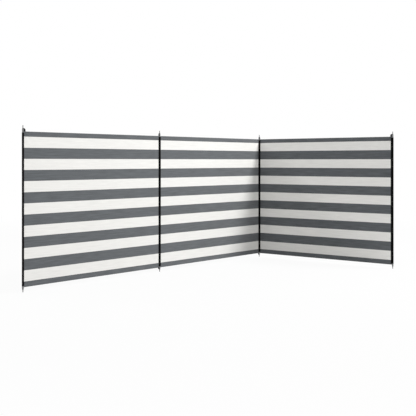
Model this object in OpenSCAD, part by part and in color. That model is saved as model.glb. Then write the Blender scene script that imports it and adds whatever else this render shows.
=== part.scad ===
// Beach windbreak: three cloth bays on four steel poles. The left and middle bays
// stand in line, and the right bay stands at right angles to them.
// The origin is the centre of the corner pole's foot face, at ground level.
// The middle bay runs from it along -X, the right bay along -Y, and +Z is up.

/* [Bays] */
// Distance between the axes of two neighbouring poles
bay_w = 1800; // [900:50:2400]
// Height of the cloth
cloth_h = 1400; // [700:50:1600]
// Thickness of the cloth
cloth_t = 1; // [0.6:0.2:2]
// Height of the folded hem along the top of the cloth
top_hem_h = 46; // [30:2:80]
// Height of the folded hem along the bottom of the cloth
bottom_hem_h = 50; // [30:2:80]
// Thickness of the folded hems
hem_t = 1.6; // [1:0.2:3]
// Height of the bottom edge of the cloth above the ground
ground_gap = 20; // [15:1:40]

/* [Poles] */
// Outer diameter of the pole tubes
tube_d = 16; // [12:1:22]
// Wall of the pole tubes
tube_wall = 1; // [0.6:0.1:1.5]
// Height of the joint between the lower and the upper tube
joint_z = 750; // [400:10:900]
// Length of the narrowed end of the upper tube inside the lower one
spigot_l = 60; // [30:5:90]
// How far the tube stands out of the cloth at the top
tube_rise = 21; // [12:1:40]

/* [Pole ends] */
// Thickness of the collars on the top pins and the ground spikes
collar_t = 2; // [1:0.5:4]
// Length of the plugs in the ends of the tubes
plug_l = 20; // [10:1:40]
// Diameter of the necks that the straps go round
neck_d = 8; // [6:0.5:10]
// Diameter of the free part of the top pins
pin_d = 7.5; // [4:0.5:9]
// Length of the free part of the top pins
pin_l = 26; // [10:1:40]
// Height of the rounding on the top pins
pin_round = 2; // [0.5:0.5:3]
// Diameter of the ground spikes
spike_d = 8; // [6:0.5:12]
// Length of the ground spikes below the collar
spike_l = 28; // [15:1:60]
// Length of the point of the ground spikes
point_l = 11; // [5:1:14]
// Diameter of the blunt tip of the ground spikes
tip_d = 1.6; // [1:0.2:3]

/* [Sleeves] */
// Thickness of the sleeve cloth round the poles
sleeve_t = 1.7; // [1:0.1:3]
// Distance from the top of a sleeve to the top edge of the cloth
sleeve_top_gap = 10; // [4:1:20]
// Distance from the bottom of a sleeve to the bottom edge of the cloth
sleeve_foot_gap = 12; // [4:1:20]
// Width of the flat seam that joins the left pole's sleeve to the cloth
left_seam_w = 3; // [2:1:12]
// Width of the same seam beside the middle and corner poles
seam_w = 8; // [2:1:12]
// Width of the same seam beside the right pole
right_seam_w = 14; // [2:1:20]

/* [Straps] */
// Width of the top straps on the two end poles where they leave the hem
end_strap_w = 19; // [10:1:24]
// Width of the top strap on the middle pole
middle_strap_w = 10; // [4:1:16]
// Width of the two top straps on the corner pole
corner_strap_w = 5; // [4:1:10]
// Width of the foot straps where they leave the hem
foot_strap_w = 14; // [6:1:16]
// Thickness of the strap webbing
strap_t = 1.2; // [0.8:0.1:1.6]
// Height of a strap's loop round a neck, or of two loops together
loop_h = 6; // [3:0.5:8]
// Distance from the pole's axis to the near edge of an end pole's top strap
end_strap_x = 10; // [10:1:24]
// Distance from the pole's axis to the near edge of a foot strap
foot_strap_x = 14; // [14:1:24]
// Width of the loops that run up behind the end poles
tab_w = 8; // [5:1:10]

/* [Hidden] */
$fn = 48;
// clearance between a soft piece and what it lies next to
soft_gap = 0.3;
// clearance between a bay and the pole that it turns about
turn_gap = 0.4;
// clearance of a plug in its tube
plug_gap = 0.05;
// how far a cutting tool runs past what it cuts
over = 1;
// how far out a foot strap still reaches at the height of its loop
bend_w = 7;
// how far below the tube's top a top strap begins to narrow
knee_h = 4;

tube_r = tube_d / 2;
bore_r = tube_r - tube_wall;
plug_r = bore_r - plug_gap;
sleeve_in_r = tube_r + soft_gap;
sleeve_r = sleeve_in_r + sleeve_t;
neck_r = neck_d / 2;
loop_in_r = neck_r + soft_gap;
loop_r = loop_in_r + strap_t;

// heights from the foot face up
foot_neck_h = loop_h + 2 * soft_gap;
tube_foot_z = collar_t + foot_neck_h;
cloth_z = ground_gap;
cloth_top_z = cloth_z + cloth_h;
sleeve_z = cloth_z + sleeve_foot_gap;
sleeve_top_z = cloth_top_z - sleeve_top_gap;
tube_top_z = cloth_top_z + tube_rise;
head_z = tube_top_z + collar_t;
head_neck_h = loop_h + 2 * soft_gap;
foot_loop_z = collar_t + soft_gap;
head_loop_z = head_z + soft_gap;
half_loop_h = (loop_h - soft_gap) / 2;
second_loop_z = head_loop_z + half_loop_h + soft_gap;

// distances from a pole's axis to where a cloth starts: beside its own
// sleeve's seam, or beside a sleeve that it turns about
left_seam_x = sleeve_r + left_seam_w;
seam_x = sleeve_r + seam_w;
right_seam_x = sleeve_r + right_seam_w;
turn_x = sleeve_r + turn_gap;

// ---- places ----
// A bay's own frame has its inner pole at the origin and its outer pole on +X.
// A pole's own frame has the pole's own bay on +X.

module left_bay() {
    translate([-bay_w, 0, 0]) rotate([0, 0, 180]) children();
}

module middle_bay() {
    rotate([0, 0, 180]) children();
}

module right_bay() {
    rotate([0, 0, -90]) children();
}

module at_left_pole() {
    translate([-2 * bay_w, 0, 0]) children();
}

module at_middle_pole() {
    translate([-bay_w, 0, 0]) children();
}

module at_corner_pole() {
    rotate([0, 0, 180]) children();
}

module at_right_pole() {
    translate([0, -bay_w, 0]) rotate([0, 0, 90]) children();
}

// turns a drawing in the XZ plane into a sheet of thickness t about that plane
module sheet(t) {
    translate([0, t / 2, 0]) rotate([90, 0, 0]) linear_extrude(t) children();
}

// ---- bays ----
// x_in and x_out are the distances from the inner and outer poles' axes

module cloth(x_in, x_out) {
    color("gainsboro")
    translate([x_in, -cloth_t / 2, cloth_z + bottom_hem_h])
        cube([bay_w - x_in - x_out, cloth_t, cloth_h - bottom_hem_h - top_hem_h]);
}

// A hem's band. Past the end of the sleeve its corners run in to the tube.
// up is 1 where the sleeve's end lies near the hem's top edge, and -1 where
// it lies near the hem's bottom edge, and gap is how far from that edge.
module hem(x_in, x_out, z, hem_h, gap, up) {
    in_x = tube_r + turn_gap;
    mid_z = z + hem_h / 2;
    ear_h = gap - soft_gap;
    color("dimgray")
    sheet(hem_t) {
        translate([x_in, z]) square([bay_w - x_in - x_out, hem_h]);
        translate([in_x, mid_z + up * (hem_h - ear_h) / 2 - ear_h / 2])
            square([bay_w - 2 * in_x, ear_h]);
    }
}

module top_hem(x_in, x_out) {
    hem(x_in, x_out, cloth_top_z - top_hem_h, top_hem_h, sleeve_top_gap, 1);
}

module bottom_hem(x_in, x_out) {
    hem(x_in, x_out, cloth_z, bottom_hem_h, sleeve_foot_gap, -1);
}

// ---- poles ----

module lower_tube() {
    color("silver")
    difference() {
        translate([0, 0, tube_foot_z]) cylinder(h = joint_z - tube_foot_z, r = tube_r);
        translate([0, 0, tube_foot_z - over])
            cylinder(h = joint_z - tube_foot_z + 2 * over, r = bore_r);
    }
}

// the lower end is narrowed to fit inside the lower tube
module upper_tube() {
    color("silver")
    difference() {
        union() {
            translate([0, 0, joint_z]) cylinder(h = tube_top_z - joint_z, r = tube_r);
            translate([0, 0, joint_z - spigot_l]) cylinder(h = spigot_l + over, r = plug_r);
        }
        translate([0, 0, joint_z + tube_wall])
            cylinder(h = tube_top_z - joint_z, r = bore_r);
        translate([0, 0, joint_z - spigot_l - over])
            cylinder(h = spigot_l + tube_wall + 2 * over, r = plug_r - tube_wall);
    }
}

module top_pin() {
    neck_top_z = head_z + head_neck_h;
    pin_r = pin_d / 2;
    color("lightgray")
    rotate_extrude()
        polygon([
            [0, tube_top_z - plug_l], [plug_r, tube_top_z - plug_l],
            [plug_r, tube_top_z], [tube_r, tube_top_z],
            [tube_r, head_z], [neck_r, head_z],
            [neck_r, neck_top_z], [pin_r, neck_top_z],
            [pin_r, neck_top_z + pin_l - pin_round],
            for (a = [15 : 15 : 75])
                [pin_r - pin_round * (1 - cos(a)),
                 neck_top_z + pin_l - pin_round * (1 - sin(a))],
            [pin_r - pin_round, neck_top_z + pin_l],
            [0, neck_top_z + pin_l]
        ]);
}

module ground_spike() {
    spike_r = spike_d / 2;
    color("lightgray")
    rotate_extrude()
        polygon([
            [0, tube_foot_z + plug_l], [plug_r, tube_foot_z + plug_l],
            [plug_r, tube_foot_z], [neck_r, tube_foot_z],
            [neck_r, collar_t], [tube_r, collar_t],
            [tube_r, 0], [spike_r, 0],
            [spike_r, -(spike_l - point_l)], [tip_d / 2, -spike_l],
            [0, -spike_l]
        ]);
}

// ---- sleeves ----

module sleeve(seam) {
    sleeve_h = sleeve_top_z - sleeve_z;
    color("black")
    difference() {
        union() {
            translate([0, 0, sleeve_z]) cylinder(h = sleeve_h, r = sleeve_r);
            translate([0, -hem_t / 2, sleeve_z]) cube([sleeve_r + seam, hem_t, sleeve_h]);
        }
        translate([0, 0, sleeve_z - over]) cylinder(h = sleeve_h + 2 * over, r = sleeve_in_r);
    }
}

// ---- straps ----
// A leg of webbing is leg_t thick and drawn as [distance from the axis, height]
// points, and a loop goes round a neck at its end.

module strap(loop_z, h, leg_t, outline) {
    color("black")
    difference() {
        union() {
            translate([0, 0, loop_z]) cylinder(h = h, r = loop_r);
            sheet(leg_t) polygon(outline);
        }
        translate([0, 0, loop_z - over]) cylinder(h = h + 2 * over, r = loop_in_r);
    }
}

// from the top hem up beside the tube, and in over the edge of the pole's collar
module top_strap(loop_z, h, x, w) {
    bend_x = tube_r + soft_gap;
    knee_z = tube_top_z - knee_h;
    loop_top_z = loop_z + h;
    strap(loop_z, h, strap_t, [
        [x, cloth_top_z], [x + w, cloth_top_z], [x + w, knee_z],
        [bend_x + 0.4 * w, loop_top_z], [neck_r, loop_top_z],
        [neck_r, loop_z], [bend_x, loop_z], [x, knee_z]
    ]);
}

module end_strap() {
    top_strap(head_loop_z, loop_h, end_strap_x, end_strap_w);
}

// on a pole between two bays, close beside the tube
module shared_strap(loop_z, h, w) {
    top_strap(loop_z, h, tube_r + turn_gap + soft_gap, w);
}

// from the bottom hem down and in under the end of the tube
module foot_strap() {
    bend_x = tube_r + soft_gap;
    loop_top_z = foot_loop_z + loop_h;
    strap(foot_loop_z, loop_h, strap_t, [
        [foot_strap_x, cloth_z], [foot_strap_x + foot_strap_w, cloth_z],
        [bend_x + bend_w, foot_loop_z], [neck_r, foot_loop_z],
        [neck_r, loop_top_z], [bend_x + strap_t, loop_top_z]
    ]);
}

// a loop on an end pole's foot, with a tab up the back of the tube to the sleeve
module foot_loop() {
    tab_x = tube_r + soft_gap;
    loop_top_z = foot_loop_z + loop_h;
    strap(foot_loop_z, loop_h, tab_w, [
        [neck_r, foot_loop_z], [tab_x + strap_t, foot_loop_z],
        [tab_x + strap_t, sleeve_z], [tab_x, sleeve_z],
        [tab_x, loop_top_z], [neck_r, loop_top_z]
    ]);
}

// ---- nodes ----

left_bay() cloth(turn_x, left_seam_x);  // left_cloth
left_bay() top_hem(turn_x, left_seam_x);  // left_top_hem
left_bay() bottom_hem(turn_x, left_seam_x);  // left_bottom_hem

middle_bay() cloth(seam_x, seam_x);  // middle_cloth
middle_bay() top_hem(seam_x, seam_x);  // middle_top_hem
middle_bay() bottom_hem(seam_x, seam_x);  // middle_bottom_hem

right_bay() cloth(turn_x, right_seam_x);  // right_cloth
right_bay() top_hem(turn_x, right_seam_x);  // right_top_hem
right_bay() bottom_hem(turn_x, right_seam_x);  // right_bottom_hem

at_left_pole() lower_tube();  // left_pole_lower_tube
at_left_pole() upper_tube();  // left_pole_upper_tube
at_left_pole() top_pin();  // left_pole_top_pin
at_left_pole() ground_spike();  // left_pole_ground_spike

at_middle_pole() lower_tube();  // middle_pole_lower_tube
at_middle_pole() upper_tube();  // middle_pole_upper_tube
at_middle_pole() top_pin();  // middle_pole_top_pin
at_middle_pole() ground_spike();  // middle_pole_ground_spike

at_corner_pole() lower_tube();  // corner_pole_lower_tube
at_corner_pole() upper_tube();  // corner_pole_upper_tube
at_corner_pole() top_pin();  // corner_pole_top_pin
at_corner_pole() ground_spike();  // corner_pole_ground_spike

at_right_pole() lower_tube();  // right_pole_lower_tube
at_right_pole() upper_tube();  // right_pole_upper_tube
at_right_pole() top_pin();  // right_pole_top_pin
at_right_pole() ground_spike();  // right_pole_ground_spike

at_left_pole() sleeve(left_seam_w);  // left_pole_sleeve
at_middle_pole() sleeve(seam_w);  // middle_pole_sleeve
at_corner_pole() sleeve(seam_w);  // corner_pole_sleeve
at_right_pole() sleeve(right_seam_w);  // right_pole_sleeve

at_left_pole() end_strap();  // left_pole_top_strap
at_middle_pole() rotate([0, 0, 180]) shared_strap(head_loop_z, loop_h, middle_strap_w);  // middle_pole_top_strap
at_corner_pole() shared_strap(head_loop_z, half_loop_h, corner_strap_w);  // corner_pole_top_strap
right_bay() shared_strap(second_loop_z, half_loop_h, corner_strap_w);  // corner_pole_second_top_strap
at_right_pole() end_strap();  // right_pole_top_strap

at_middle_pole() rotate([0, 0, 180]) foot_strap();  // middle_pole_foot_strap
at_corner_pole() foot_strap();  // corner_pole_foot_strap
at_left_pole() rotate([0, 0, 90]) foot_loop();  // left_pole_foot_loop
at_right_pole() rotate([0, 0, -90]) foot_loop();  // right_pole_foot_loop
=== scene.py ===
"""Looks of a beach windbreak: three striped canvas bays on four steel poles.

Each bay has a stretched sheet, a folded hem along its top and its bottom, black
pole sleeves and webbing straps. The steel parts keep their shapes and get finishes.
"""
import math

import bmesh
import bpy
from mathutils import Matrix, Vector, noise


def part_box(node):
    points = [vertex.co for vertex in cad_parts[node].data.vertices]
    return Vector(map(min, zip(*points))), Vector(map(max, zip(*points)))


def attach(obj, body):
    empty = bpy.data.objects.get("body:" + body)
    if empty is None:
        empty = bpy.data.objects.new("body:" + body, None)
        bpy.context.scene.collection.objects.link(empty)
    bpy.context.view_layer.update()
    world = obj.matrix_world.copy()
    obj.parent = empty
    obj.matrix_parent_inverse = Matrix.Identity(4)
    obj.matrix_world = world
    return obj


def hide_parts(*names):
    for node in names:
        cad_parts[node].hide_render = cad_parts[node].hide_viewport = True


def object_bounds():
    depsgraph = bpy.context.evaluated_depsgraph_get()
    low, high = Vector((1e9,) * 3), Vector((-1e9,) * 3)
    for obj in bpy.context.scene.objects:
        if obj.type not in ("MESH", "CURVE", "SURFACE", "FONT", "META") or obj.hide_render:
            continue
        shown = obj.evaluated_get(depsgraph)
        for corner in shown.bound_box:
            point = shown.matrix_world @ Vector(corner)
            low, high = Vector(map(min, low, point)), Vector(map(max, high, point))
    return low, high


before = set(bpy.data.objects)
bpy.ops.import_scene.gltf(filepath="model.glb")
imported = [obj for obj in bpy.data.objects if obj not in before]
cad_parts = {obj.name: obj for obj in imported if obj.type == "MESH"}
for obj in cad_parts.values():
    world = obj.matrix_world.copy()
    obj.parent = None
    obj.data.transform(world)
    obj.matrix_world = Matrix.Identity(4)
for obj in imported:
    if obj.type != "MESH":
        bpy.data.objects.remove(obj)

CAD_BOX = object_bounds()
MM = 0.001
TURN = 2 * math.pi
SHARP_EDGE = math.radians(50)

# the sheets and their hems
CANVAS_HALF = 0.4 * MM          # half the thickness of the single cloth
SEAM_TUCK = 1.5 * MM            # how far the cloth runs into its sleeve's seam and its hems
STRIPES = 13                    # light and dark bands between the two hems
HEM_ROW = 4 * MM                # distance of a hem's stitch rows from its two edges
HEM_STITCH_OUT = 0.82 * MM      # from the middle of a hem to its stitches
# fine spacing near a pole, coarse spacing further in, and how far in that is
SHEET_COLUMNS = (4 * MM, 20 * MM, 88 * MM)
HEM_COLUMNS = (3.5 * MM, 14 * MM, 84 * MM)
SHEET_ROW_HEIGHT = 6.5 * MM

# how the sheets lie, as depths and lengths in metres
BROAD_SLACK = 2.2 * MM
GATHERS, GATHER_PITCH, GATHER_REACH = 0.7 * MM, 0.027, 0.03
FANS, FAN_FOLDS, FAN_REACH = 1.3 * MM, 12, 0.15
TUCKS, TUCK_PITCH, TUCK_REACH, TUCK_RISE = 0.8 * MM, 0.017, 0.04, 0.035

# the black edge bands beside the poles that a bay turns about
BINDING_WIDTH = 8 * MM
BINDING_START = 0.3 * MM        # how far it stands off the cloth's edge towards the pole
BINDING_HALF = 0.85 * MM        # half its thickness on the single cloth
BINDING_SWELL = 0.55 * MM       # added to that over a hem
BINDING_ROW = 4.5 * MM          # distance of its stitches from the cloth's edge
GROOVE = 0.93                   # share of its thickness that is left under the stitches

# the sleeves
SLEEVE_SIDES = 40               # points round the part that goes round the tube
SLEEVE_INNER = 8.45 * MM
SLEEVE_OUTER = 9.85 * MM
WING_HALF = 0.8 * MM            # half the thickness of the seam beside the tube
WING_STITCH_OUT = 0.86 * MM     # from the middle of that seam to its stitches
PUCKER_PITCH = 0.024            # height of a pucker, in metres
END_BAND = 12 * MM              # the turned-in ends of a sleeve
END_ROW = 6 * MM                # distance of an end's ring of stitches from the end
END_ROW_SIDES = 24
SEAM_ANGLE = math.radians(37)   # left without stitches on each side of the seam

# the straps
STRAP_HALF = 0.45 * MM
LOOP_RADIUS = 4.9 * MM
LOOP_WIDTH = 6 * MM
SMALL_LOOP_WIDTH = 2.8 * MM     # of the two straps that share a pin
STRAP_BOX_OUT = 1.22 * MM       # from the middle of a hem to the crossed box on a strap's end
STRAP_BOX_NEAR, STRAP_BOX_FAR = -7 * MM, -19 * MM       # its edges, from the hem's edge
STRAP_BOX_SHIFT = 5 * MM        # of its middle, away from the pole

# the threads: spacing, length and thickness of the stitches
CANVAS_STITCH = {"pitch": 5 * MM, "length": 4.2 * MM, "thickness": 0.7 * MM}
STRAP_STITCH = {"pitch": 2.4 * MM, "length": 2.1 * MM, "thickness": 0.55 * MM}
UNEVEN_STITCHES = 0.07


# ---- places from the frame ----

def pole_axis(pole):
    """A point on a pole's axis, at ground level."""
    low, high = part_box(pole + "_pole_top_pin")
    middle = (low + high) / 2
    return Vector((middle.x, middle.y, 0))


class Bay:
    """A bay's own frame: along runs from the inner pole's axis to the outer one's, and
    out is the distance in front of the plane through both axes."""

    def __init__(self, name, inner, outer, front, seed):
        self.name, self.body, self.seed = name, name + "_bay", seed
        self.inner, self.outer = inner, outer
        self.origin = pole_axis(inner)
        reach = pole_axis(outer) - self.origin
        self.span = reach.length
        self.axis = reach / self.span
        self.front = Vector(front)
        low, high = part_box(name + "_cloth")
        self.start, self.stop = sorted(self.along(corner) for corner in (low, high))
        self.low, self.high = low.z, high.z
        self.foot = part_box(name + "_bottom_hem")[0].z
        self.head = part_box(name + "_top_hem")[1].z

    def along(self, point):
        return (point - self.origin).dot(self.axis)

    def at(self, along, out, height):
        place = self.origin + self.axis * along + self.front * out
        return Vector((place.x, place.y, height))

    def near(self, along):
        """The distance from the nearer upright edge of the cloth."""
        return max(0.0, min(along - self.start, self.stop - along))


LEFT = Bay("left", "middle", "left", (0, -1, 0), 3.7)
MIDDLE = Bay("middle", "corner", "middle", (0, -1, 0), 11.2)
RIGHT = Bay("right", "corner", "right", (-1, 0, 0), 23.9)
BAYS = (LEFT, MIDDLE, RIGHT)


class Post:
    """A pole seen from one of its bays: reach runs from its axis towards that bay."""

    def __init__(self, pole, bay):
        self.pole, self.bay = pole, bay
        self.origin = pole_axis(pole)
        self.toward = bay.axis if bay.inner == pole else -bay.axis
        self.front = bay.front

    def at(self, reach, out, height):
        place = self.origin + self.toward * reach + self.front * out
        return Vector((place.x, place.y, height))

    def round(self, radius, turn, height):
        """A point round the pole, with turn counted from the bay's side."""
        return self.at(radius * math.cos(turn), radius * math.sin(turn), height)

    def along(self, reach):
        return self.bay.along(self.origin + self.toward * reach)


# ---- how the cloth lies ----

def ease(value):
    """From 0 to 1 with a soft start and a soft stop."""
    value = min(1.0, max(0.0, value))
    return value * value * (3 - 2 * value)


def drift(a, b=0.0, c=0.0):
    """Smooth noise, from about -1 to 1."""
    return noise.noise(Vector((a, b, c)))


def slack(bay, along, height):
    """How far the stretched cloth stands in front of its plane."""
    near = bay.near(along)
    edge = max(0.0, min(height - bay.foot, bay.head - height))
    seed = bay.seed
    broad = BROAD_SLACK * drift(along * 1.2 + seed, height * 1.6, seed) * ease(near / 0.4)
    gathers = (GATHERS * math.exp(-near / GATHER_REACH) * ease(near / 0.014)
               * math.sin(TURN * height / GATHER_PITCH + 5 * drift(seed, height * 7)))
    corner = math.hypot(near, edge)
    turn = math.atan2(edge, near + 1 * MM)
    fans = (FANS * math.sin(FAN_FOLDS * turn + 3 * drift(corner * 6, seed))
            * math.exp(-corner / FAN_REACH) * ease(corner / 0.06) * ease(near / 0.02))
    tucks = (TUCKS * math.exp(-near / TUCK_REACH) * math.exp(-edge / TUCK_RISE)
             * ease(near / 0.012)
             * math.sin(TURN * along / TUCK_PITCH + 3 * drift(along * 30, seed)))
    return broad + gathers + fans + tucks


# ---- mesh building ----

class Shape:
    """Closed skins that become one mesh. Each point may have a place on its cloth, in
    metres across and along, for the UV map."""

    def __init__(self):
        self.points, self.faces, self.places = [], [], []

    def skin(self, rings, places=None, loop=False):
        """Joins rings that have the same number of points. An open skin's ends are
        closed by strips between the two halves of their rings."""
        first, size, count = len(self.points), len(rings[0]), len(rings)
        for ring in rings:
            self.points.extend(ring)
        self.places.extend(places or [(0.0, 0.0)] * (size * count))
        for r in range(count if loop else count - 1):
            a, b = first + r * size, first + (r + 1) % count * size
            for i in range(size):
                j = (i + 1) % size
                self.faces.append((a + i, a + j, b + j, b + i))
        if not loop:
            for r in (0, count - 1):
                a = first + r * size
                for i in range(size // 2 - 1):
                    self.faces.append((a + i, a + i + 1, a + size - 2 - i, a + size - 1 - i))
        return self

    def make(self, name, material, slot, body, *nodes):
        """Turns the shape into a piece that rides on a body and stands for CAD nodes."""
        mesh = bpy.data.meshes.new(name)
        mesh.from_pydata(self.points, [], self.faces)
        work = bmesh.new()
        work.from_mesh(mesh)
        bmesh.ops.recalc_face_normals(work, faces=work.faces)
        work.to_mesh(mesh)
        work.free()
        mesh.shade_smooth()
        mesh.set_sharp_from_angle(angle=SHARP_EDGE)
        layer = mesh.uv_layers.new(name="cloth")
        for corner in mesh.loops:
            layer.data[corner.index].uv = self.places[corner.vertex_index]
        return settle(name, mesh, material, slot, body, *nodes)


def settle(name, mesh, material, slot, body, *nodes):
    """Makes a mesh a piece with its material and its body. The slot is not used."""
    piece = bpy.data.objects.new(name, mesh)
    bpy.context.scene.collection.objects.link(piece)
    mesh.materials.clear()
    mesh.materials.append(material)
    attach(piece, body)
    if nodes:
        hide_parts(*nodes)
    return piece


def steps(low, high, size):
    count = max(1, round((high - low) / size))
    return [low + (high - low) * i / count for i in range(count + 1)]


def spread(low, high, fine, coarse, edge):
    """Places from low to high, closer together within edge of either end."""
    return (steps(low, low + edge, fine)[:-1] + steps(low + edge, high - edge, coarse)
            + steps(high - edge, high, fine)[1:])


def smooth_path(knots, per_span):
    """Points of any number of values on a smooth curve through the knots."""
    ends = [knots[0], *knots, knots[-1]]
    path = []
    for before, a, b, after in zip(ends, ends[1:], ends[2:], ends[3:]):
        for i in range(per_span):
            t = i / per_span
            path.append([
                0.5 * (2 * q + (r - p) * t + (2 * p - 5 * q + 4 * r - s) * t ** 2
                       + (3 * q - p - 3 * r + s) * t ** 3)
                for p, q, r, s in zip(before, a, b, after)])
    return path + [list(knots[-1])]


# ---- shader maths ----

class Signal:
    """A socket of a node tree. Arithmetic on it adds Math nodes to the tree."""

    def __init__(self, tree, socket=None):
        self.tree, self.socket = tree, socket

    def node(self, kind, settings=None, inputs=None, output=0):
        """Adds a node with its settings set first, then its sockets' values or links."""
        made = self.tree.nodes.new(kind)
        for name, value in (settings or {}).items():
            setattr(made, name, value)
        for name, value in (inputs or {}).items():
            if isinstance(value, Signal):
                self.tree.links.new(value.socket, made.inputs[name])
            else:
                made.inputs[name].default_value = value
        return Signal(self.tree, made.outputs[output] if made.outputs else None)

    def other(self, name):
        """Another output of the node that this signal comes from."""
        return Signal(self.tree, self.socket.node.outputs[name])

    def maths(self, operation, *values, clamp=False):
        return self.node("ShaderNodeMath", {"operation": operation, "use_clamp": clamp},
                         dict(enumerate(values)))

    def __add__(self, other):
        return self.maths("ADD", self, other)

    def __sub__(self, other):
        return self.maths("SUBTRACT", self, other)

    def __rsub__(self, other):
        return self.maths("SUBTRACT", other, self)

    def __mul__(self, other):
        return self.maths("MULTIPLY", self, other)

    def __truediv__(self, other):
        return self.maths("DIVIDE", self, other)

    def __abs__(self):
        return self.maths("ABSOLUTE", self)

    __radd__, __rmul__ = __add__, __mul__

    def clamp(self):
        return self.maths("ADD", self, 0.0, clamp=True)

    def wave(self, length):
        """A sine wave of that length in metres, from -1 to 1."""
        return self.maths("SINE", self * (TURN / length))

    def there_and_back(self, length):
        return self.maths("PINGPONG", self, length)

    def between(self, low, high):
        """Two colours mixed, with this signal as the share of the second."""
        return self.node("ShaderNodeMix", {"data_type": "RGBA"},
                         {0: self, 6: low, 7: high}, output=2)

    def noise(self, scale, detail=2.0, roughness=0.5):
        """Noise from 0 to 1 on a vector, with its own scale along each axis."""
        stretched = self.node("ShaderNodeMapping", None, {"Vector": self, "Scale": scale})
        return self.node("ShaderNodeTexNoise", None, {
            "Vector": stretched, "Scale": 1.0, "Detail": detail, "Roughness": roughness})


WARM = (1.0, 0.991, 0.958)
COOL = (0.905, 1.0, 1.085)
FAINT_BLUE = (1.0, 1.0, 1.06)

# the weaves, and the striped cloth's edges between light and dark
CANVAS_THREADS = 2.2 * MM
SLEEVE_THREADS = 1.6 * MM
RAGGED_EDGE = 0.9 * MM          # how far threads of one stripe stray into the next
SOFT_EDGE = 0.8 * MM            # over which one stripe turns into the next
DENSE_LINE = 4.5 * MM           # on each side of that edge
FOLD_LINE = 5 * MM              # darker, along a hem's outer fold


def shade(value, tint=(1.0, 1.0, 1.0)):
    return tuple(value * part for part in tint) + (1.0,)


def new_finish(name, **constants):
    """A material, a signal to build its nodes from, and a function that joins signals
    to its main shader."""
    material = bpy.data.materials.new(name)
    material.use_nodes = True
    tree = material.node_tree
    shader = tree.nodes["Principled BSDF"]
    for socket, value in constants.items():
        shader.inputs[socket.replace("_", " ")].default_value = value

    def join(**signals):
        for socket, signal in signals.items():
            tree.links.new(signal.socket, shader.inputs[socket.replace("_", " ")])
        return material

    return Signal(tree), join


def weave(start, pitch):
    """Object coordinates, the height and a plain weave of threads along and up."""
    place = start.node("ShaderNodeTexCoord", output="Object")
    split = start.node("ShaderNodeSeparateXYZ", None, {0: place}, output="X")
    along, height = split + split.other("Y"), split.other("Z")
    return place, height, along.wave(pitch) * height.wave(pitch)


def canvas(name, striped):
    """Woven canvas: light and dark stripes for the sheets, or dark all over for hems."""
    start, join = new_finish(name, Sheen_Weight=0.35, Sheen_Roughness=0.6,
                             Specular_IOR_Level=0.15)
    place, height, threads = weave(start, CANVAS_THREADS)
    band = (MIDDLE.high - MIDDLE.low) / STRIPES
    # 0 in the middle of a light stripe, band in the middle of a dark one
    from_light = (height - (MIDDLE.low + band / 2)).there_and_back(band)
    ragged = place.noise((900, 900, 60), detail=1.0)
    step = from_light - band / 2 + (ragged - 0.5) * RAGGED_EDGE
    dense = (1 - abs(step) / DENSE_LINE).clamp()
    slub = place.noise((2.6, 2.6, 150), detail=3.0, roughness=0.6)
    streak = place.noise((6, 6, 85), detail=2.0) - 0.5
    upright = place.noise((190, 190, 3.0), detail=2.0)
    cloudy = place.noise((1.7, 1.7, 2.3), detail=3.0)
    lift = ((slub - 0.5) * 0.16 + (upright - 0.5) * 0.05 + (cloudy - 0.5) * 0.10
            + threads * 0.022 + 0.97)
    dark_lift = lift + streak * 0.75 - dense * 0.10
    if not striped:
        # the outer fold is the middle of a dark stripe that the hem cuts in half
        dark_lift = dark_lift - (1 - (band - from_light) / FOLD_LINE).clamp() * 0.16
    dark = (dark_lift - 0.5).clamp().between(shade(0.037, COOL), shade(0.150, COOL))
    if striped:
        light_lift = lift + streak * 0.36 + dense * 0.012
        light = (light_lift * 2 - 1.4).clamp().between(shade(0.67, WARM), shade(0.87, WARM))
        colour = (step / SOFT_EDGE + 0.5).clamp().between(light, dark)
    else:
        colour = dark
    relief = threads * 0.5 + slub * 1.6 + upright * 0.5
    bump = start.node("ShaderNodeBump", None,
                      {"Strength": 0.35, "Distance": 0.35 * MM, "Height": relief})
    return join(Base_Color=colour, Normal=bump, Roughness=0.78 + slub * 0.16)


def black_canvas():
    """The sleeves' close black cloth, a little greyer where it is worn."""
    start, join = new_finish("black sleeve canvas", Specular_IOR_Level=0.06)
    place, height, threads = weave(start, SLEEVE_THREADS)
    slub = place.noise((60, 60, 220), detail=2.0)
    worn = place.noise((14, 14, 9), detail=3.0)
    share = (threads * 0.12 + slub * 0.5 + worn * 0.5).clamp()
    colour = share.between(shade(0.001), shade(0.0055, FAINT_BLUE))
    bump = start.node("ShaderNodeBump", None, {
        "Strength": 0.5, "Distance": 0.3 * MM, "Height": threads * 0.5 + slub})
    return join(Base_Color=colour, Normal=bump, Roughness=0.72 + worn * 0.2)


def webbing():
    """Black webbing with ribs across it and fainter lines along it."""
    start, join = new_finish("black webbing", Specular_IOR_Level=0.1)
    place = start.node("ShaderNodeTexCoord", output="Object")
    spot = start.node("ShaderNodeUVMap", {"uv_map": "cloth"})
    across = start.node("ShaderNodeSeparateXYZ", None, {0: spot}, output="X")
    along = across.other("Y")
    lines = across.wave(1.5 * MM)
    ribs = along.wave(1.3 * MM)
    fuzz = place.noise((700, 700, 700), detail=1.0)
    share = (ribs * 0.25 + lines * 0.18 + fuzz * 0.5 + 0.15).clamp()
    colour = share.between(shade(0.0015), shade(0.010, (1.0, 1.0, 1.05)))
    bump = start.node("ShaderNodeBump", None, {
        "Strength": 0.6, "Distance": 0.25 * MM, "Height": ribs * 0.5 + lines * 0.35})
    return join(Base_Color=colour, Normal=bump, Roughness=0.62 + fuzz * 0.2)


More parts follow.
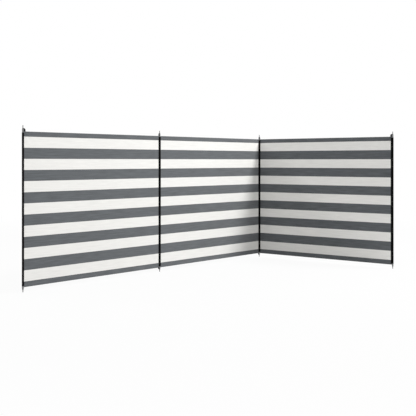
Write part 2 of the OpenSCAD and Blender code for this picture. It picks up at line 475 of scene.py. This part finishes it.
def thread(name, dark, light):
    """Twisted sewing thread."""
    start, join = new_finish(name, Sheen_Weight=0.1, Specular_IOR_Level=0.3)
    place = start.node("ShaderNodeTexCoord", output="Object")
    twist = place.noise((1500, 1500, 1500), detail=1.0)
    colour = twist.between(shade(dark, COOL), shade(light, COOL))
    return join(Base_Color=colour, Roughness=0.55 + twist * 0.2)


def galvanised():
    """Zinc-coated tube: a dull grey with a soft spangle and fine drawn lines."""
    start, join = new_finish("galvanised tube", Metallic=1.0)
    place = start.node("ShaderNodeTexCoord", output="Object")
    spangle = start.node("ShaderNodeTexVoronoi", None,
                         {"Vector": place, "Scale": 400.0}, output="Color")
    flake = start.node("ShaderNodeSeparateColor", None, {0: spangle})
    drawn = place.noise((900, 900, 12), detail=2.0)
    share = (flake * 0.35 + drawn * 0.5 + 0.1).clamp()
    colour = share.between(shade(0.10, (0.98, 1.0, 1.02)), shade(0.26, (0.99, 1.0, 1.01)))
    bump = start.node("ShaderNodeBump", None,
                      {"Strength": 0.25, "Distance": 0.05 * MM, "Height": drawn})
    return join(Base_Color=colour, Roughness=0.34 + flake * 0.14, Normal=bump)


def bright_steel():
    """Turned pins and spikes: brighter, with rings from the lathe and small scuffs."""
    start, join = new_finish("turned steel", Metallic=1.0)
    place = start.node("ShaderNodeTexCoord", output="Object")
    height = start.node("ShaderNodeSeparateXYZ", None, {0: place}, output="Z")
    rings = height.wave(0.45 * MM)
    scuffs = place.noise((420, 420, 160), detail=4.0, roughness=0.7)
    share = (scuffs * 0.9 + rings * 0.06 + 0.05).clamp()
    colour = share.between(shade(0.06), shade(0.20, (1.0, 1.0, 0.99)))
    bump = start.node("ShaderNodeBump", None, {
        "Strength": 0.3, "Distance": 0.04 * MM, "Height": rings * 0.3 + scuffs})
    return join(Base_Color=colour, Roughness=0.24 + scuffs * 0.22, Normal=bump)


STRIPED_CANVAS = canvas("striped canvas", True)
HEM_CANVAS = canvas("dark hem canvas", False)
SLEEVE_CANVAS = black_canvas()
STRAP_WEBBING = webbing()
GREY_THREAD = thread("grey thread", 0.05, 0.12)
BLACK_THREAD = thread("black thread", 0.010, 0.03)
TUBE_STEEL = galvanised()
PIN_STEEL = bright_steel()


# ---- camera ----

def set_camera():
    """Looks into the open corner from in front, on the left."""
    camera = bpy.data.objects.new("camera", bpy.data.cameras.new("camera"))
    bpy.context.scene.collection.objects.link(camera)
    heading = math.radians(39.714)          # of the view, anticlockwise from +X
    camera.location = (-8.2667, -6.0080, MIDDLE.foot + 1.1364)
    camera.rotation_euler = (math.pi / 2, 0, heading - math.pi / 2)
    camera.data.lens = 71.63
    camera.data.shift_x, camera.data.shift_y = 0.0057, -0.1136
    bpy.context.scene.camera = camera


set_camera()


# ---- sheets ----

def make_sheet(bay):
    """One bay's striped cloth."""
    # the moving bays' sheets end inside their edge bindings
    first = bay.start + (-SEAM_TUCK if bay is MIDDLE else 1 * MM)
    heights = steps(bay.low - SEAM_TUCK, bay.high + SEAM_TUCK, SHEET_ROW_HEIGHT)
    rings = []
    for along in spread(first, bay.stop + SEAM_TUCK, *SHEET_COLUMNS):
        front = [bay.at(along, slack(bay, along, h) + CANVAS_HALF, h) for h in heights]
        back = [bay.at(along, slack(bay, along, h) - CANVAS_HALF, h) for h in heights]
        rings.append(front + back[::-1])
    return Shape().skin(rings).make(bay.name + "_bay_canvas", STRIPED_CANVAS,
                                    "striped_cloth", bay.body, bay.name + "_cloth")


# ---- hems ----

HEM_OUTER = (       # distance from the outer fold and half the thickness, in mm
    (0, 0.25), (0.2, 0.6), (0.6, 0.9), (1.5, 1.0), (3.0, 0.92), (4.0, 0.76), (5.0, 0.92),
    (7.5, 1.05), (9.4, 1.05), (10.2, 1.05), (11.4, 1.08), (12.2, 1.08), (17, 1.14), (23, 1.18))
HEM_INNER = (       # the same, with the distance from the inner edge
    (17, 1.15), (10, 1.02), (5.5, 0.88), (4.0, 0.72), (2.8, 0.86), (1.2, 0.9), (0.4, 0.75),
    (0, 0.42))


def make_hem(bay, top):
    """A bay's doubled edge, whose ears run past the cloth to the poles."""
    node = bay.name + ("_top_hem" if top else "_bottom_hem")
    edge = bay.head if top else bay.foot
    inward = -1 if top else 1
    low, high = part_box(node)
    width = (high.z - low.z) / MM
    profile = HEM_OUTER + tuple((width - offset, half) for offset, half in HEM_INNER)
    ends = sorted(bay.along(corner) for corner in (low, high))
    # the ears lie beyond the sleeve's end
    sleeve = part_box(MIDDLE.inner + "_pole_sleeve")[1 if top else 0].z
    ear = abs(sleeve - edge) - 0.3 * MM
    shares = [(x - bay.start) / (bay.stop - bay.start)
              for x in spread(bay.start, bay.stop, *HEM_COLUMNS)]
    rings = []
    for share in shares:
        front, back = [], []
        for offset, half in profile:
            first, last = ends if offset * MM < ear else (bay.start, bay.stop)
            along = first + (last - first) * share
            height = edge + inward * offset * MM
            middle = slack(bay, along, height)
            front.append(bay.at(along, middle + half * MM, height))
            back.append(bay.at(along, middle - half * MM, height))
        rings.append(front + back[::-1])
    return Shape().skin(rings).make(node + "_fold", HEM_CANVAS, "hem_cloth", bay.body, node)


# ---- edge bindings ----

def binding_half(bay, height):
    """Half the thickness of a binding, which is thicker where it takes in the hems."""
    inside = min(height - bay.low, bay.high - height)
    return BINDING_HALF + BINDING_SWELL * ease(0.5 - inside / (6 * MM))


def make_binding(bay):
    """The black band that closes a moving bay's edge beside the pole it turns about."""
    low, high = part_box(bay.inner + "_pole_sleeve")
    last = bay.start - BINDING_START + BINDING_WIDTH
    # two more rings at each step between hem and single cloth
    heights = sorted(steps(low.z, high.z, 6 * MM) + [edge + way * 2 * MM for way in (-1, 1)
                                                     for edge in (bay.low, bay.high)])
    rings = []
    for height in heights:
        half = binding_half(bay, height)
        # close to the sleeve's skin, and clear of its thicker ends
        clear = ease(min(height - low.z, high.z - height) / (2 * END_BAND))
        first = bay.start - BINDING_START - 0.2 * MM * clear
        # place along the bay, and share of half the thickness
        outline = [(first, 0.4), (first + 0.35 * MM, 0.85), (first + 1.0 * MM, 1.0),
                   (first + 3.5 * MM, 0.97), (first + 4.75 * MM, GROOVE),
                   (last - 1.2 * MM, 0.97), (last - 0.3 * MM, 0.95), (last, 0.7)]
        front = [bay.at(x, slack(bay, x, height) + half * y, height) for x, y in outline]
        back = [bay.at(x, slack(bay, x, height) - half * y, height) for x, y in outline]
        rings.append(front + back[::-1])
    return Shape().skin(rings).make(bay.name + "_bay_edge_binding", SLEEVE_CANVAS,
                                    "sleeve_cloth", bay.body)


# ---- sleeves ----

SLEEVE_POSTS = (Post("left", LEFT), Post("middle", MIDDLE), Post("corner", MIDDLE),
                Post("right", RIGHT))


class Sleeve:
    """The black sleeve round a pole, with a seam, its wing, towards the bay it belongs to."""

    def __init__(self, post):
        self.post = post
        node = post.pole + "_pole_sleeve"
        low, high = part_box(node)
        self.foot, self.head = low.z, high.z
        self.tip = max((corner - post.origin).dot(post.toward) for corner in (low, high))
        self.seed = 5.3 + 2.1 * SLEEVE_POSTS.index(post)

    def radius(self, turn, height):
        """Puckers run round the sleeve from its seam and die out behind the pole."""
        edge = min(height - self.foot, self.head - height)
        seed = self.seed
        puckers = 0.5 + 0.5 * math.sin(TURN * height / PUCKER_PITCH + 4 * drift(seed, height * 11)
                                       + 1.5 * math.sin(turn))
        depth = 0.16 + 0.34 * math.cos(turn / 2) ** 2
        drawn = depth * puckers + 0.22 * (0.5 + drift(turn * 0.9, height * 17, seed))
        band = 0.12 if edge < END_BAND else 0.0
        groove = 0.12 * math.exp(-((edge - END_ROW) / (1 * MM)) ** 2)
        return SLEEVE_OUTER - (drawn * ease(edge / END_BAND) - band + groove) * MM

    def ring(self, height):
        """The outside, from one face of the wing round the tube to the other."""
        around = []
        root = math.asin(WING_HALF / SLEEVE_OUTER)
        for i in range(SLEEVE_SIDES + 1):
            turn = root + (TURN - 2 * root) * i / SLEEVE_SIDES
            around.append(self.post.round(self.radius(turn, height), turn, height))
        wave = 0.02 * (self.tip - SLEEVE_OUTER) * drift(height * 40, self.seed)
        wing = [(self.tip - 0.3 * MM, -0.7), (self.tip, -0.35), (self.tip, 0.35),
                (self.tip - 0.3 * MM, 0.7)]
        return around + [self.post.at(x, y * MM + wave, height) for x, y in wing]

    def bore(self, height):
        """The inside, with a point for each one of a ring."""
        around = [0.25 + (TURN - 0.5) * i / SLEEVE_SIDES for i in range(SLEEVE_SIDES + 1)]
        around += [-0.03, -0.01, 0.01, 0.03]
        return [self.post.round(SLEEVE_INNER, turn, height) for turn in around]

    def make(self):
        low, high, step = self.foot + END_BAND, self.head - END_BAND, 0.2 * MM
        heights = (steps(self.foot, low - step, 1.5 * MM)
                   + steps(low + step, high - step, 5 * MM)
                   + steps(high + step, self.head, 1.5 * MM))
        rings = [self.ring(h) for h in heights] + [self.bore(self.head), self.bore(self.foot)]
        node = self.post.pole + "_pole_sleeve"
        return Shape().skin(rings, loop=True).make(
            node + "_cover", SLEEVE_CANVAS, "sleeve_cloth", self.post.bay.body, node)


# ---- straps ----

def rounded(width):
    """The outline of flat webbing, across and through."""
    side, half = width / 2, STRAP_HALF
    upper = [(-side, 0.0), (-side + 0.35 * half, 0.75 * half), (-side + 1.2 * half, half),
             (-side / 3, half), (side / 3, half), (side - 1.2 * half, half),
             (side - 0.35 * half, 0.75 * half), (side, 0.0)]
    return upper + [(x, -y) for x, y in reversed(upper[1:-1])]


def ribbon(shape, path, loop=False):
    """Webbing along a path of (centre, direction across it, width)."""
    rings, places, run = [], [], 0.0
    for i, (centre, across, width) in enumerate(path):
        before = path[i - 1][0] if i or loop else centre
        after = path[(i + 1) % len(path)][0] if i + 1 < len(path) or loop else centre
        through = (after - before).normalized().cross(across).normalized()
        run += (centre - path[i - 1][0]).length if i else 0.0
        outline = rounded(width)
        rings.append([centre + across * x + through * y for x, y in outline])
        places += [(x, run) for x, y in outline]
    shape.skin(rings, places, loop)


class Strap:
    """Webbing that comes out of a hem's edge in two layers and goes round a neck."""

    def __init__(self, pole, bay, node, width, loop, top):
        self.post, self.node, self.width, self.loop = Post(pole, bay), node, width, loop
        self.edge, self.up = (bay.head, 1) if top else (bay.foot, -1)
        low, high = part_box(node)
        reach = max((corner - self.post.origin).dot(self.post.toward) for corner in (low, high))
        self.place = reach - width / 2
        self.height = high.z - loop / 2 if top else low.z + loop / 2

    def knots(self):
        """Reach, out, rise from the hem's edge and width, in mm, and tilt in degrees."""
        rise = self.up * (self.height - self.edge) / MM
        place, full, tight = self.place / MM, self.width / MM, self.loop / MM
        inner = place - full / 2
        sewn = [(place, 0.1, -2.6, full, 0), (place, 0.2, -1.2, full, 0)]
        if self.up > 0:
            # straight up beside the tube, then in over the collar
            legs = [(place, 0.47, 1.5, full, 0), (place, 0.55, 0.32 * rise, full, 0),
                    (place - 0.02 * full, 0.55, 0.58 * rise, 0.97 * full, 6),
                    (inner + 0.40 * full, 0.56, 0.76 * rise, 0.82 * full, 22),
                    (inner + 0.30 * full, 0.55, 0.91 * rise, 0.48 * full + 0.28 * tight, 44),
                    (inner - 0.2, 0.85, rise, 0.75 * tight + 0.06 * full, 76)]
        else:
            # slanting down and in, then round the corner of the tube's foot to the spike
            corner = 11.8
            inward = place - corner
            lean = math.degrees(math.atan2(inward, rise))
            legs = [(place - 0.4, 0.47, 1.2, full, 0.3 * lean),
                    (place - 0.25 * inward, 0.55, 0.27 * rise, 0.95 * full, 0.8 * lean),
                    (place - 0.62 * inward, 0.55, 0.62 * rise, 0.85 * full, 1.1 * lean),
                    (corner, 0.62, 0.95 * rise, 0.7 * full, lean + 22),
                    (8.9, 1.35, rise, tight + 0.5, 82)]
        loop = [(LOOP_RADIUS / MM * math.cos(math.radians(angle)),
                 LOOP_RADIUS / MM * math.sin(math.radians(angle)), rise, tight, 90)
                for angle in range(66, 295, 19)]
        front = sewn + legs
        return front + loop + [(reach, -out, *rest) for reach, out, *rest in reversed(front)]

    def make(self):
        post, path = self.post, []
        for reach, out, lift, width, tilt in smooth_path(self.knots(), 3):
            height = self.edge + self.up * lift * MM
            # where it is sewn in, it follows the hem
            sag = slack(post.bay, post.along(reach * MM), height) if lift < 0.5 else 0.0
            centre = post.at(reach * MM, out * MM + sag, height)
            tilt = math.radians(tilt)
            across = post.toward * math.cos(tilt) + Vector((0, 0, self.up * math.sin(tilt)))
            path.append((centre, across, width * MM))
        shape = Shape()
        ribbon(shape, path)
        return shape.make(self.node + "_webbing", STRAP_WEBBING, "strap_webbing",
                          post.bay.body, self.node)


def foot_loop(post, node):
    """A loop round an end pole's foot, with a tab up behind the tube to the sleeve."""
    low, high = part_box(node)
    middle = low.z + LOOP_WIDTH / 2
    shape, sides = Shape(), 28
    ribbon(shape, [(post.round(LOOP_RADIUS, TURN * i / sides, middle), Vector((0, 0, 1)),
                    LOOP_WIDTH) for i in range(sides)], loop=True)
    # distance behind the axis, height above the loop's middle and width, in mm
    tail = (high.z - middle) / MM
    knots = [(8.95, tail - 0.2, 8), (8.95, 0.8 * tail, 8), (8.98, 0.5 * tail, 7.8),
             (8.98, 6.7, 7.6), (8.9, 3.8, 7.2), (8.3, 1.5, 6.8), (7.0, 0.4, 6.4),
             (5.4, 0.1, 6.0), (4.9, 0.1, 5.8)]
    path = [(post.at(0, -reach * MM, middle + height * MM), post.toward, width * MM)
            for reach, height, width in smooth_path(knots, 3)]
    ribbon(shape, path)
    return shape.make(node + "_webbing", STRAP_WEBBING, "strap_webbing", post.bay.body, node)


# ---- stitches ----

def stitch_tree():
    """Stitches laid in a row along every line of the mesh that they are put on."""
    tree = bpy.data.node_groups.new("stitch rows", "GeometryNodeTree")
    face = tree.interface
    face.new_socket("Rows", in_out="INPUT", socket_type="NodeSocketGeometry")
    for name, kind in (("Pitch", "Float"), ("Stitch Length", "Float"), ("Thickness", "Float"),
                       ("Unevenness", "Float"), ("Seed", "Int"), ("Thread", "Material")):
        face.new_socket(name, in_out="INPUT", socket_type="NodeSocket" + kind)
    face.new_socket("Stitches", in_out="OUTPUT", socket_type="NodeSocketGeometry")
    start = Signal(tree)
    rows = start.node("NodeGroupInput", output="Rows")
    size = rows.other
    curves = start.node("GeometryNodeMeshToCurve", None, {0: rows})
    spaced = start.node("GeometryNodeResampleCurve", {"mode": "LENGTH"},
                        {"Curve": curves, "Length": size("Pitch")})
    tangent = start.node("GeometryNodeInputTangent")
    swing = start.node("FunctionNodeRandomValue", {"data_type": "FLOAT_VECTOR"}, {
        0: (-1, -1, -1), 1: (1, 1, 1), "Seed": size("Seed")})
    uneven = start.node("ShaderNodeVectorMath", {"operation": "SCALE"},
                        {0: swing, "Scale": size("Unevenness")})
    heading = start.node("ShaderNodeVectorMath", {"operation": "ADD"}, {0: tangent, 1: uneven})
    turned = start.node("FunctionNodeAlignRotationToVector", {"axis": "X"}, {"Vector": heading})
    half_length = size("Stitch Length") * 0.5
    half = size("Thickness") * 0.5
    scale = start.node("ShaderNodeCombineXYZ", None, {0: half_length, 1: half, 2: half})
    grain = start.node("GeometryNodeMeshIcoSphere", None, {"Radius": 1.0, "Subdivisions": 1})
    stitch = start.node("GeometryNodeTransform", None, {"Geometry": grain, "Scale": scale})
    laid = start.node("GeometryNodeInstanceOnPoints", None, {
        "Points": spaced, "Instance": stitch, "Rotation": turned})
    plain = start.node("GeometryNodeRealizeInstances", None, {0: laid})
    smooth = start.node("GeometryNodeSetShadeSmooth", None, {0: plain})
    done = start.node("GeometryNodeSetMaterial", None,
                      {"Geometry": smooth, "Material": size("Thread")})
    start.node("NodeGroupOutput", None, {0: done})
    return tree


STITCH_TREE = stitch_tree()


class Rows:
    """Lines that get stitches. Together they become one piece on one body."""

    def __init__(self, body, name, thread_finish, slot, pitch, length, thickness, seed):
        self.body, self.name, self.thread_finish, self.slot = body, name, thread_finish, slot
        self.sizes = {"Pitch": pitch, "Stitch Length": length, "Thickness": thickness,
                      "Unevenness": UNEVEN_STITCHES, "Seed": seed, "Thread": thread_finish}
        self.points, self.edges = [], []

    def line(self, points):
        first = len(self.points)
        self.points += points
        self.edges += [(first + i, first + i + 1) for i in range(len(points) - 1)]

    def make(self):
        lines = bpy.data.meshes.new(self.name)
        lines.from_pydata(self.points, self.edges, [])
        holder = bpy.data.objects.new(self.name + "_lines", lines)
        bpy.context.scene.collection.objects.link(holder)
        modifier = holder.modifiers.new("stitches", "NODES")
        modifier.node_group = STITCH_TREE
        for socket in STITCH_TREE.interface.items_tree:
            if socket.name in self.sizes:
                modifier[socket.identifier] = self.sizes[socket.name]
        evaluated = holder.evaluated_get(bpy.context.evaluated_depsgraph_get())
        mesh = bpy.data.meshes.new_from_object(evaluated)
        bpy.data.objects.remove(holder)
        return settle(self.name, mesh, self.thread_finish, self.slot, self.body)


def hem_stitches(bay, rows):
    """Two rows on both faces of each hem."""
    for edge, inner, inward in ((bay.head, bay.high, -1), (bay.foot, bay.low, 1)):
        for height in (edge + inward * HEM_ROW, inner - inward * HEM_ROW):
            places = spread(bay.start + 4 * MM, bay.stop - 4 * MM, *HEM_COLUMNS)
            for side in (-1, 1):
                rows.line([bay.at(x, slack(bay, x, height) + side * HEM_STITCH_OUT, height)
                           for x in places])


def binding_stitches(bay, rows):
    """A row on both faces of a moving bay's edge binding."""
    low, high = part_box(bay.inner + "_pole_sleeve")
    along = bay.start + BINDING_ROW
    for side in (-1, 1):
        rows.line([bay.at(along, slack(bay, along, h)
                          + side * (GROOVE * binding_half(bay, h) + 0.1 * MM), h)
                   for h in steps(low.z + 3 * MM, high.z - 3 * MM, 6 * MM)])


def sleeve_stitches(sleeve, rows):
    """Rows up both faces of the seam, and one round each end."""
    post = sleeve.post
    wide = sleeve.tip - SLEEVE_OUTER > 6 * MM
    for reach in ((12.2 * MM, sleeve.tip - 2 * MM) if wide else (sleeve.tip - 1.3 * MM,)):
        for side in (-1, 1):
            rows.line([post.at(reach, side * WING_STITCH_OUT, h)
                       for h in steps(sleeve.foot + 3 * MM, sleeve.head - 3 * MM, 40 * MM)])
    for height in (sleeve.foot + END_ROW, sleeve.head - END_ROW):
        around = []
        for i in range(END_ROW_SIDES + 1):
            turn = SEAM_ANGLE + (TURN - 2 * SEAM_ANGLE) * i / END_ROW_SIDES
            around.append(post.round(sleeve.radius(turn, height) - 0.12 * MM, turn, height))
        rows.line(around)


def strap_stitches(strap, rows):
    """A crossed box on both faces of the hem where a strap is sewn into it."""
    post = strap.post
    middle, half = strap.place + STRAP_BOX_SHIFT, max(4.5 * MM, 0.42 * strap.width)
    left, right, near, far = middle - half, middle + half, STRAP_BOX_NEAR, STRAP_BOX_FAR
    corners = [(left, near), (right, near), (right, far), (left, far), (left, near),
               (right, far), (right, near), (left, far)]
    for side in (-1, 1):
        points = []
        for (x0, z0), (x1, z1) in zip(corners, corners[1:]):
            for share in (0, 0.25, 0.5, 0.75):
                reach, rise = x0 + (x1 - x0) * share, z0 + (z1 - z0) * share
                height = strap.edge + strap.up * rise
                out = slack(post.bay, post.along(reach), height) + side * STRAP_BOX_OUT
                points.append(post.at(reach, out, height))
        rows.line(points)


# ---- the pieces ----

sheets = {bay: make_sheet(bay) for bay in BAYS}
hems = {bay: [make_hem(bay, top) for top in (True, False)] for bay in BAYS}
sleeves = {post.pole: Sleeve(post) for post in SLEEVE_POSTS}
covers = {pole: sleeve.make() for pole, sleeve in sleeves.items()}
bindings = {bay: [make_binding(bay)] for bay in (LEFT, RIGHT)}

# pole, bay that holds the strap, node, width where it leaves the hem, width of its loop,
# and whether it is at the top
STRAPS = [Strap(*facts) for facts in (
    ("left", LEFT, "left_pole_top_strap", 19 * MM, LOOP_WIDTH, True),
    ("middle", LEFT, "middle_pole_top_strap", 10 * MM, LOOP_WIDTH, True),
    ("corner", MIDDLE, "corner_pole_top_strap", 5 * MM, SMALL_LOOP_WIDTH, True),
    ("corner", RIGHT, "corner_pole_second_top_strap", 5 * MM, SMALL_LOOP_WIDTH, True),
    ("right", RIGHT, "right_pole_top_strap", 19 * MM, LOOP_WIDTH, True),
    ("middle", LEFT, "middle_pole_foot_strap", 14 * MM, LOOP_WIDTH, False),
    ("corner", MIDDLE, "corner_pole_foot_strap", 14 * MM, LOOP_WIDTH, False))]
straps = {bay: [strap.make() for strap in STRAPS if strap.post.bay is bay] for bay in BAYS}
for pole, bay in (("left", LEFT), ("right", RIGHT)):
    straps[bay].append(foot_loop(Post(pole, bay), pole + "_pole_foot_loop"))

stitching = {}
for number, bay in enumerate(BAYS):
    hem_rows = Rows(bay.body, bay.name + "_bay_hem_stitching", GREY_THREAD, "hem_cloth",
                    **CANVAS_STITCH, seed=40 + number)
    hem_stitches(bay, hem_rows)
    sleeve_rows = Rows(bay.body, bay.name + "_bay_sleeve_stitching", BLACK_THREAD,
                       "sleeve_cloth", **CANVAS_STITCH, seed=50 + number)
    for sleeve in sleeves.values():
        if sleeve.post.bay is bay:
            sleeve_stitches(sleeve, sleeve_rows)
    if bay in bindings:
        binding_stitches(bay, sleeve_rows)
    strap_rows = Rows(bay.body, bay.name + "_bay_strap_stitching", BLACK_THREAD,
                      "strap_webbing", **STRAP_STITCH, seed=60 + number)
    for strap in STRAPS:
        if strap.post.bay is bay:
            strap_stitches(strap, strap_rows)
    stitching[bay] = [rows.make() for rows in (hem_rows, sleeve_rows, strap_rows)]

for bay in BAYS:
    hems[bay] + stitching[bay] + straps[bay] + bindings.get(bay, [])

for name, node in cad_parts.items():
    if "_tube" in name or "_pin" in name or "_spike" in name:
        node.data.materials.clear()
        node.data.materials.append(TUBE_STEEL if "_tube" in name else PIN_STEEL)


# ---- light, floor and background ----

def lamp(name, travel, target, distance, size, strength):
    """A round lamp that lights target with that many watts on each square metre."""
    data = bpy.data.lights.new(name, "AREA")
    data.shape, data.size = "DISK", size
    data.energy = strength * math.pi * distance ** 2
    body = bpy.data.objects.new(name, data)
    travel = Vector(travel).normalized()
    body.location = Vector(target) - travel * distance
    body.rotation_euler = travel.to_track_quat("-Z", "Y").to_euler()
    bpy.context.scene.collection.objects.link(body)


def seen(start):
    """1 for what the camera sees, straight or in metal or glass, and 0 for light."""
    path = start.node("ShaderNodeLightPath", output="Is Camera Ray")
    return path.maths("MAXIMUM", path.maths("MAXIMUM", path, path.other("Is Glossy Ray")),
                      path.other("Is Transmission Ray"))


def set_world(level):
    """An even surround that lights the object at that level and looks white."""
    world = bpy.data.worlds.new("white surround")
    world.use_nodes = True
    bpy.context.scene.world = world
    world.node_tree.nodes.clear()
    start = Signal(world.node_tree)
    around = start.node("ShaderNodeBackground", None, {"Color": shade(level)})
    white = start.node("ShaderNodeBackground", None, {"Color": shade(1.0)})
    mixed = start.node("ShaderNodeMixShader", None, {0: seen(start), 1: around, 2: white})
    start.node("ShaderNodeOutputWorld", None, {"Surface": mixed})


def set_floor(height, half, tone, plain):
    """A pale floor. For the camera, plain is the share of it that is white light, which
    grows to all of it far out. The rest is matt, and keeps the object's shadow."""
    mesh = bpy.data.meshes.new("floor")
    mesh.from_pydata([(x, y, height) for x, y in ((-half, -half), (half, -half),
                                                   (half, half), (-half, half))],
                     [], [(0, 1, 2, 3)])
    floor = bpy.data.objects.new("floor", mesh)
    bpy.context.scene.collection.objects.link(floor)
    material = bpy.data.materials.new("pale floor")
    material.use_nodes = True
    material.node_tree.nodes.clear()
    start = Signal(material.node_tree)
    place = start.node("ShaderNodeTexCoord", output="Object")
    middle = start.node("ShaderNodeVectorMath", {"operation": "DISTANCE"},
                        {0: place, 1: (MIDDLE.origin.x - MIDDLE.span / 2, 0, height)},
                        output="Value")
    far = ((middle - 4.5) / 4).clamp()      # from 0 at 4.5 m off to 1 at 8.5 m
    matt = start.node("ShaderNodeBsdfDiffuse", None, {"Color": shade(tone)})
    white = start.node("ShaderNodeEmission", None, {"Color": shade(1.0)})
    mixed = start.node("ShaderNodeMixShader", None,
                       {0: seen(start) * (far * (1 - plain) + plain), 1: matt, 2: white})
    start.node("ShaderNodeOutputMaterial", None, {"Surface": mixed})
    mesh.materials.append(material)


lamp("key lamp", travel=(-0.45, 0.8, -1.0), target=(-0.9, 0, 0.72),
     distance=9.0, size=2.2, strength=2.53)
lamp("back lamp", travel=(0.9, -1.0, -0.84), target=(0, -0.9, 0.72),
     distance=7.0, size=1.4, strength=0.3)
set_world(level=0.815)
set_floor(height=min(CAD_BOX[0].z, 0.0), half=60.0, tone=0.6, plain=0.94)
bpy.context.scene.view_settings.view_transform = "Standard"
